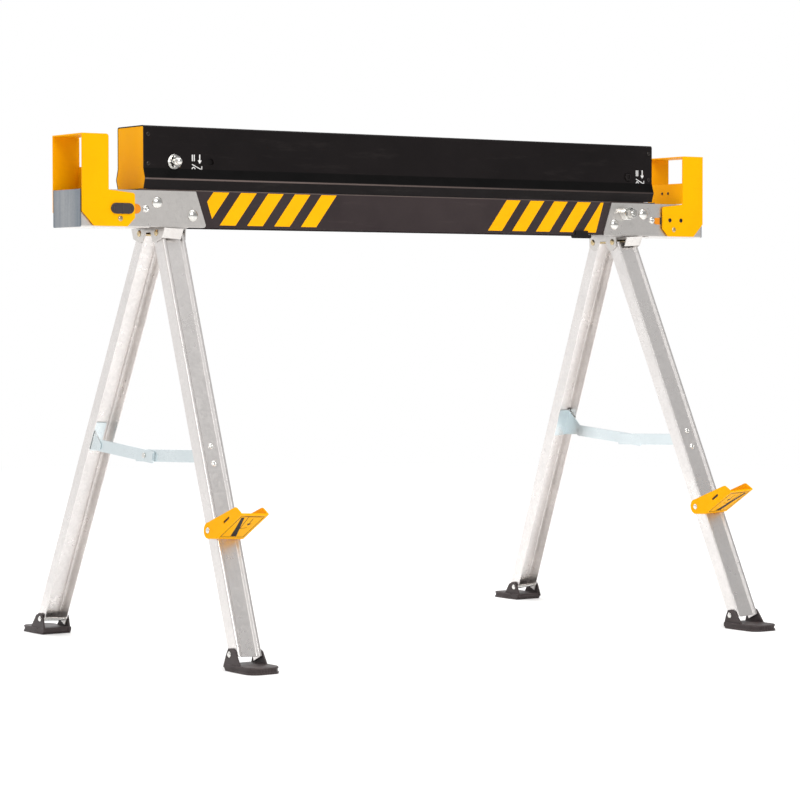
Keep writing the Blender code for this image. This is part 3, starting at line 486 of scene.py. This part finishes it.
def hex_nut(bm, place):
    """A washer, a hex nut with a turned top, and the threaded end that stands out of it."""
    add_turned(bm, [(0, 0.0003), (0.0112, 0.0003), (0.0115, 0.0006), (0.0115, 0.0020), (0.0112, 0.0023), (0, 0.0023)],
               place, 36)
    add_turned(bm, [(0, 0.0021), (0.0094, 0.0021), (0.0100, 0.0028, "hex"), (0.0100, 0.0098, "hex"),
                    (0.0084, 0.0108), (0, 0.0108)], place, 36)
    thread = [(0, 0.0100), (0.0052, 0.0100)]
    for turn in range(6):
        low = 0.0108 + 0.0011 * turn
        thread += [(0.0048, low), (0.0055, low + 0.0004)]
    add_turned(bm, thread + [(0.0052, 0.0176), (0.0042, 0.0190), (0.0022, 0.0199), (0, 0.0202)], place)


def make_clamps():
    """The clamp bolts with their nuts and heads, and the ribbed barrels of the spring plungers."""
    for end in ENDS:
        nut, head, barrel = bmesh.new(), bmesh.new(), bmesh.new()
        hex_nut(nut, face(end, -1, CLAMP_BOLT[0], CAP_FACE, CLAMP_BOLT[1]))
        add_turned(head, [(0, 0.0002), (0.0066, 0.0002), (0.0070, 0.0008, "hex"), (0.0070, 0.0044, "hex"),
                          (0.0060, 0.0052), (0.0040, 0.0052), (0.0038, 0.0030, "hex"), (0, 0.0028)],
                   face(end, 1, CLAMP_BOLT[0], HEAD_DEPTH, CLAMP_BOLT[1]))
        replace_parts(piece(f"clamp_nut_{end}", nut, "beam", "bolt_steel"), f"clamp_bolt_{end}")
        piece(f"clamp_head_{end}", head, "beam", "bolt_steel", "ink_black")
        ribs = [(0.0047, 0.0003), (0.0104, 0.0003)]
        for turn in range(6):
            low = 0.0008 + 0.0021 * turn
            ribs += [(0.0112, low), (0.0112, low + 0.0012), (0.0103, low + 0.0016), (0.0103, low + 0.0020)]
        ribs += [(0.0100, 0.0141), (0.0047, 0.0141), (0.0047, 0.0003)]
        add_turned(barrel, ribs, face(end, 1, PLUNGER[0], BRACKET_FACE, PLUNGER[1]), 30)
        bmesh.ops.remove_doubles(barrel, verts=barrel.verts, dist=1e-6)
        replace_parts(piece(f"plunger_barrel_{end}", barrel, "beam", "bolt_steel"), f"plunger_sleeve_{end}")


def make_cap_marks():
    """Generic printed marks by the clamp bolt: an arrow, two bars, an angle and a ring."""
    shapes = [[(0.0010, 0.0030), (0.0085, 0.0030), (0.00475, -0.0025)],
              bar_points((0.00475, 0.0120), (0.00475, 0.0030), 0.0020),
              bar_points((-0.0085, 0.0115), (-0.0085, 0.0015), 0.0018),
              bar_points((-0.0050, 0.0115), (-0.0050, 0.0015), 0.0018),
              bar_points((-0.0090, -0.0035), (0.0085, -0.0115), 0.0013),
              bar_points((0.0085, -0.0060), (0.0085, -0.0125), 0.0013)]
    for end in ENDS:
        for side, x, word in MARKS:
            bm = bmesh.new()
            place = face(end, side, x, CAP_FACE, MARKS_Z)
            for shape in shapes:
                add_prism(bm, shape, -0.00005, 0.00012, place)
            outer, inner = ring_points(-0.0062, -0.0105, 0.0032), ring_points(-0.0062, -0.0105, 0.0017)
            for i in range(20):
                j = (i + 1) % 20
                add_prism(bm, [outer[i], outer[j], inner[j], inner[i]], -0.00005, 0.00012, place)
            piece(f"printed_mark_{word}_{end}", bm, "beam", "black_paint", "ink_white")


def make_arm_details():
    """The support arms' screws, the orange half-round tab with a dark plate beside it for the gap's shade (painted
    shade), and the thumb slide's ridges.
    """
    for end in ENDS:
        arm = f"arm_{end}"
        dark, tab, gap_shade, ridge = bmesh.new(), bmesh.new(), bmesh.new(), bmesh.new()
        for x in ARM_SCREWS_X:
            add_screw(dark, face(end, 1, x, ARM_FACE, ARM_SCREW_Z), 0.0036, 0.0013, 0.5)
        for y in WALL_SCREWS_Y:
            add_screw(dark, end_frame(end) @ axes((WALL_X, y, WALL_SCREW_Z), (0, -1, 0), (0, 0, 1), (1, 0, 0)),
                      0.0024, 0.0010, 0.45)
        piece(f"arm_screws_{end}", dark, arm, "bolt_steel", "screw_black")
        # In this frame X runs outboard, away from the tab's tip.
        place = face(end, 1, ARM_TAB[0], BRACKET_FACE, ARM_TAB[1])
        tip = [(0.0058 * math.cos(a), 0.0058 * math.sin(a)) for a in
               (math.pi / 2 + math.pi * k / 12 for k in range(13))]
        add_prism(tab, tip + [(0.0068, -0.0058), (0.0068, 0.0058)], 0.0003, 0.0012, place, 0.0002)
        piece(f"arm_tab_{end}", tab, arm, "orange_plastic")
        # A dark plate beside the tab that stands for the shade in the gap (painted shade).
        add_prism(gap_shade, [(0.0070, -0.0052), (0.0240, -0.0052), (0.0240, 0.0062), (0.0070, 0.0062)],
                  0.0003, 0.0014, place, 0.0002)
        piece(f"arm_tab_gap_shade_{end}", gap_shade, arm, "dark_plastic")
        # The thumb slide's centre ridge and finger ribs.
        place = face(end, -1, GRIP[0], ARM_FACE, GRIP[1])
        for x, wide, tall in ((0.0, 0.0011, 0.0072), (-0.0125, 0.0006, 0.0050), (-0.0155, 0.0006, 0.0036),
                              (0.0125, 0.0006, 0.0050), (0.0155, 0.0006, 0.0036)):
            add_prism(ridge, [(x - wide, -tall), (x + wide, -tall), (x + wide, tall), (x - wide, tall)],
                      0.0024, 0.0031, place, 0.0002)
        piece(f"grip_ridges_{end}", ridge, f"lock_{end}", "dark_plastic")


def web_face(end, side, down, depth):
    """A frame on a leg's outer web, this far down from its pin and this deep in it: Y up the leg, Z out."""
    across = (1, 0, 0) if side < 0 else (-1, 0, 0)
    return leg_frame(end, side) @ axes((0, side * (WEB_FROM_PIN - depth), -down), across, (0, 0, 1), (0, side, 0))


def side_names(end):
    return {-1: "front", 1: "rear"} if end == "left" else {-1: "rear", 1: "front"}


def make_leg_rivets():
    """Two rivets in each leg's pressed panel, which hold the spreader's lug inside it."""
    for end in ENDS:
        for side, word in side_names(end).items():
            bm = bmesh.new()
            for down in RIVETS_DOWN[word]:
                add_rivet(bm, web_face(end, side, down, PANEL_DEPTH), 0.0046, 0.0020)
            piece(f"{word}_leg_rivets_{end}", bm, f"{word}_leg_{end}", "bolt_steel")


REST_ANGLE = math.radians(30.5)
REST_PIVOT = (WEB_FROM_PIN - 0.0158, -0.4874)
REST_PLATE = -0.0212


def rest_frame(end):
    """The material rest's own frame: Y along it away from the leg, -Z out of its plate's underside."""
    side = -1 if end == "left" else 1
    to_legs = legs_frame(end).inverted() @ leg_frame(end, side)
    pivot = to_legs @ Vector((0, side * REST_PIVOT[0], REST_PIVOT[1]))
    mirror = Matrix.Scale(-1, 4, (0, 1, 0)) if side < 0 else Matrix.Identity(4)
    return legs_frame(end) @ Matrix.Translation(pivot) @ mirror @ Matrix.Rotation(REST_ANGLE, 4, "X")


def make_rest_details():
    """A plain printed panel under each rest, without words, and dark plates behind the slots in its cheeks: painted
    shade seen through the slots.
    """
    for end in ENDS:
        hand = 1 if end == "left" else -1
        label, slot_shade_plates = bmesh.new(), bmesh.new()
        place = rest_frame(end) @ axes((0, 0, REST_PLATE), (-hand, 0, 0), (0, 1, 0), (0, 0, -1))
        wide, near, far, line = 0.0195, 0.0215, 0.0880, 0.0009
        corners = [(-wide, near), (wide, near), (wide, far), (-wide, far)]
        shapes = [bar_points(a, b, line) for a, b in zip(corners, corners[1:] + corners[:1])]
        # As seen from below, X runs from right to left.
        shapes.append([(-hand * x, y) for x, y in
                       ((-0.0035, 0.0235), (0.0065, 0.0235), (-0.0125, 0.0840), (-0.0175, 0.0840), (-0.0095, 0.0520))])
        shapes += [bar_points((-hand * a, b), (-hand * c, d), 0.0009) for a, b, c, d in
                   ((-0.0010, 0.0480, 0.0095, 0.0520), (-0.0060, 0.0860, -0.0010, 0.0480),
                    (-0.0130, 0.0860, 0.0170, 0.0860), (0.0045, 0.0800, 0.0062, 0.0640))]
        shapes.append([(-hand * x, y) for x, y in ((0.0030, 0.0650), (0.0100, 0.0650), (0.0068, 0.0585))])
        for shape in shapes:
            add_prism(label, shape, -0.00005, 0.00014, place)
        piece(f"rest_panel_{end}", label, f"rest_{end}", "yellow_paint", "ink_black")
        # Dark plates behind the cheek slots that stand for the shade inside them (painted shade).
        for cheek in (-1, 1):
            place = rest_frame(end) @ axes((cheek * 0.0216, 0.053, -0.0095), (0, 1, 0), (0, 0, 1), (1, 0, 0))
            add_prism(slot_shade_plates, [(-0.0105, -0.0030), (0.0105, -0.0030), (0.0105, 0.0030), (-0.0105, 0.0030)],
                      -0.0003, 0.0003, place)
        piece(f"rest_slot_painted_shade_{end}", slot_shade_plates, f"rest_{end}", "dark_plastic")


def rounded_outline(left, right, near, far, radius, steps=6):
    """A rectangle whose two far corners are round."""
    points = [(left, near), (right, near)]
    for centre, start in (((right - radius, far - radius), 0.0), ((left + radius, far - radius), math.pi / 2)):
        points += [(centre[0] + radius * math.cos(start + math.pi / 2 * k / steps),
                    centre[1] + radius * math.sin(start + math.pi / 2 * k / steps)) for k in range(steps + 1)]
    return points


FOOT_INNER_Y, FOOT_OUTER_Y, FOOT_HALF_WIDTH = 0.2830, 0.3600, 0.026
FOOT_PIN_DOWN, FOOT_PIN_FROM_WEB = 0.6805, 0.0172


def make_foot_details():
    """The moulded steps round each foot's pad: a sole flange, a top ledge and ribs on its outer end."""
    for end in ENDS:
        for side, word in side_names(end).items():
            bm = bmesh.new()
            local = end_frame(end).inverted() @ leg_frame(end, side)
            centre = (local @ Vector((0, side * (WEB_FROM_PIN - FOOT_PIN_FROM_WEB), -FOOT_PIN_DOWN))).x
            for out, low, high in ((0.0012, 0.0002, 0.0030), (0.0009, 0.0078, 0.0099)):
                left, right = centre - FOOT_HALF_WIDTH - out, centre + FOOT_HALF_WIDTH + out
                outline = rounded_outline(left, right, FOOT_INNER_Y + 0.020, FOOT_OUTER_Y + out, 0.0165)
                add_prism(bm, [(x, side * y) for x, y in outline], low, high, end_frame(end), 0.0005)
            for k in range(5):
                x = centre - 0.010 + 0.005 * k
                outline = [(x - 0.0009, 0.0029), (x + 0.0009, 0.0029), (x + 0.0009, 0.0080), (x - 0.0009, 0.0080)]
                place = end_frame(end) @ axes((0, side * (FOOT_OUTER_Y - 0.0004), 0), (1, 0, 0), (0, 0, 1), (0, -1, 0))
                add_prism(bm, outline, -0.0010 if side > 0 else -0.0004, 0.0004 if side > 0 else 0.0010, place)
            piece(f"{word}_foot_steps_{end}", bm, f"{word}_foot_{end}", "dark_plastic")


dress_frame()
make_hazard_stripes()
make_cap_screws()
make_clamps()
make_cap_marks()
make_arm_details()
make_leg_rivets()
make_rest_details()
make_foot_details()


# ---------------------------------------------------------------- floor, light, camera

def make_floor():
    bm = bmesh.new()
    bmesh.ops.create_grid(bm, x_segments=2, y_segments=2, size=30)
    mesh = bpy.data.meshes.new("floor")
    bm.to_mesh(mesh)
    bm.free()
    obj = bpy.data.objects.new("floor", mesh)
    bpy.context.scene.collection.objects.link(obj)
    s = Shader("floor_pale", Roughness=0.9, Specular_IOR_Level=0.1)
    s.drive("Base Color", s.mix(s.ranged(s.noise(0.8, 3), 0.3, 0.7), (0.93, 0.93, 0.93), (0.90, 0.90, 0.90)))
    # The floor turns into the white sweep behind it, well away from the object.
    glow = s.node("Emission", {"Color": (1, 1, 1, 1), "Strength": 1.0}).outputs[0]
    away = s.node("VectorMath", {0: s.place}, operation="LENGTH").outputs["Value"]
    shader = s.node("MixShader", {0: s.ranged(away, 1.6, 5.0), 1: s.principled.outputs[0], 2: glow}).outputs[0]
    s.tree.links.new(shader, s.tree.nodes["Material Output"].inputs["Surface"])
    mesh.materials.append(s.material)


def add_area(name, place, target, size, power, colour=(1, 1, 1)):
    light = bpy.data.lights.new(name, "AREA")
    light.shape = "RECTANGLE"
    light.size, light.size_y = size
    light.energy = power
    light.color = colour
    obj = bpy.data.objects.new(name, light)
    bpy.context.scene.collection.objects.link(obj)
    obj.location = place
    obj.rotation_euler = (Vector(target) - Vector(place)).to_track_quat("-Z", "Y").to_euler()


BRIGHT_SIDE = (-0.45, 0.89, 0.0)
ROOM_SIDES = (-0.9, 0.9, 0.38, 0.95)
ROOM_TOP = (0.45, 0.9, 0.0, 0.5)


def make_light():
    scene = bpy.context.scene
    scene.view_settings.view_transform = "Standard"
    world = bpy.data.worlds.new("studio")
    world.use_nodes = True
    tree = world.node_tree
    # White where the camera sees it directly. The object is lit by the room below instead.
    seen = tree.nodes.new("ShaderNodeLightPath").outputs["Is Camera Ray"]
    white = tree.nodes["Background"]
    white.inputs["Color"].default_value = (1.0, 1.0, 1.0, 1.0)
    dim = tree.nodes.new("ShaderNodeBackground")
    dim.inputs["Color"].default_value = (1.0, 1.0, 1.0, 1.0)
    # The room's light: bright behind the object, dimmer on the camera's side, and brighter overhead.
    way = tree.nodes.new("ShaderNodeTexCoord").outputs["Generated"]
    turn = tree.nodes.new("ShaderNodeVectorMath")
    turn.operation = "DOT_PRODUCT"
    turn.inputs[1].default_value = BRIGHT_SIDE
    tree.links.new(way, turn.inputs[0])
    up = tree.nodes.new("ShaderNodeSeparateXYZ")
    tree.links.new(way, up.inputs[0])
    parts = []
    for value, (low, high, to_low, to_high) in ((turn.outputs["Value"], ROOM_SIDES), (up.outputs["Z"], ROOM_TOP)):
        node = tree.nodes.new("ShaderNodeMapRange")
        tree.links.new(value, node.inputs["Value"])
        for key, number in (("From Min", low), ("From Max", high), ("To Min", to_low), ("To Max", to_high)):
            node.inputs[key].default_value = number
        parts.append(node.outputs[0])
    total = tree.nodes.new("ShaderNodeMath")
    for index, part in enumerate(parts):
        tree.links.new(part, total.inputs[index])
    tree.links.new(total.outputs[0], dim.inputs["Strength"])
    both = tree.nodes.new("ShaderNodeMixShader")
    for source, target in ((seen, both.inputs[0]), (dim.outputs[0], both.inputs[1]), (white.outputs[0], both.inputs[2]),
                           (both.outputs[0], tree.nodes["World Output"].inputs["Surface"])):
        tree.links.new(source, target)
    scene.world = world
    add_area("key", (-1.2, -4.6, 3.0), (0, 0, 0.4), (2.6, 2.0), 130, (1.0, 0.99, 0.975))
    add_area("top", (0.2, 0.4, 4.2), (0, 0, 0.4), (4.0, 3.0), 80)
    add_area("back", (0.5, 4.2, 2.6), (0, 0, 0.5), (4.0, 2.4), 50)


CAMERA_PLACE = (-2.68569, -3.85306, 0.52860)
CAMERA_YAW, CAMERA_PITCH, CAMERA_ROLL = 0.608913, -0.0314055, -0.000782
CAMERA_LENS, SENSOR = 128.26, 36.0


def make_camera():
    yaw, pitch, roll = CAMERA_YAW, CAMERA_PITCH, CAMERA_ROLL
    ahead = Vector((math.sin(yaw) * math.cos(pitch), math.cos(yaw) * math.cos(pitch), math.sin(pitch)))
    right = Vector((math.cos(yaw), -math.sin(yaw), 0))
    up = right.cross(ahead)
    right, up = right * math.cos(roll) + up * math.sin(roll), up * math.cos(roll) - right * math.sin(roll)
    data = bpy.data.cameras.new("camera")
    data.lens, data.sensor_width = CAMERA_LENS, SENSOR
    data.clip_end = 100
    obj = bpy.data.objects.new("camera", data)
    bpy.context.scene.collection.objects.link(obj)
    obj.matrix_world = axes(CAMERA_PLACE, right, up, -ahead)
    bpy.context.scene.camera = obj


make_floor()
make_light()
make_camera()
